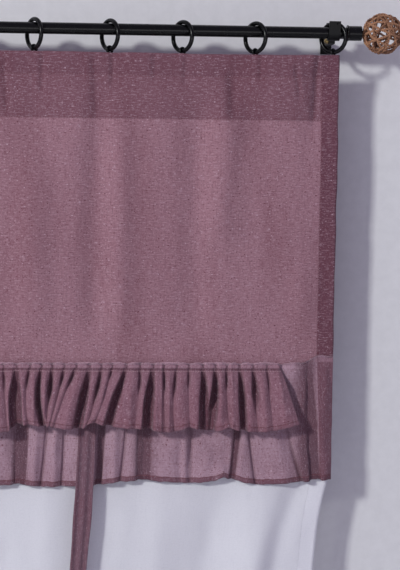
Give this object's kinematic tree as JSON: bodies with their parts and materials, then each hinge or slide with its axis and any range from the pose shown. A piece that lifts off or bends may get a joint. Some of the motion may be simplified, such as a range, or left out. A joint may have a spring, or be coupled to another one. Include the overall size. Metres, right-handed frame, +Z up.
{
  "type": "ruffled curtain on a rod",
  "caption": "Mauve curtain with a turned heading, gathered ruffles, hanging ties and a sheer lower panel, hung by rings on a slim black rod with woven ball finials.",
  "frame": {"origin": "centre of the back face of the right bracket's wall plate", "axes": "+X along the rod to the right as seen from the front, +Y towards the wall, +Z up"},
  "size_m": [1.2356, 0.0994, 1.1631],
  "materials": {
    "mauve_cloth": "matte slubbed plain weave, slightly see-through",
    "tie_cloth": "matte slubbed plain weave, doubled",
    "sheer_cloth": "fine white voile, see-through",
    "black_metal": "black, satin",
    "ring_metal": "black, satin",
    "brass": "dull brass",
    "woven_vine": "brown woven vine, semi-matte"
  },
  "bodies": {
    "root": {"front_panel": "mauve_cloth", "upper_ruffle": "mauve_cloth", "lower_ruffle": "mauve_cloth", "tie_right": "tie_cloth", "tie_left": "tie_cloth", "sheer_panel": "sheer_cloth", "rod": "black_metal", "collar_right": "black_metal", "collar_left": "black_metal", "finial_right": "woven_vine", "finial_left": "woven_vine", "bracket_right": "black_metal", "bracket_left": "black_metal", "bracket_screw_right": "brass", "bracket_screw_left": "brass", "ring_01": "ring_metal", "ring_02": "ring_metal", "ring_03": "ring_metal", "ring_04": "ring_metal", "ring_05": "ring_metal", "ring_06": "ring_metal", "ring_07": "ring_metal", "ring_08": "ring_metal", "ring_09": "ring_metal", "ring_10": "ring_metal", "ring_11": "ring_metal", "ring_eye_01": "ring_metal", "ring_eye_02": "ring_metal", "ring_eye_03": "ring_metal", "ring_eye_04": "ring_metal", "ring_eye_05": "ring_metal", "ring_eye_06": "ring_metal", "ring_eye_07": "ring_metal", "ring_eye_08": "ring_metal", "ring_eye_09": "ring_metal", "ring_eye_10": "ring_metal", "ring_eye_11": "ring_metal"}
  },
  "joints": []
}
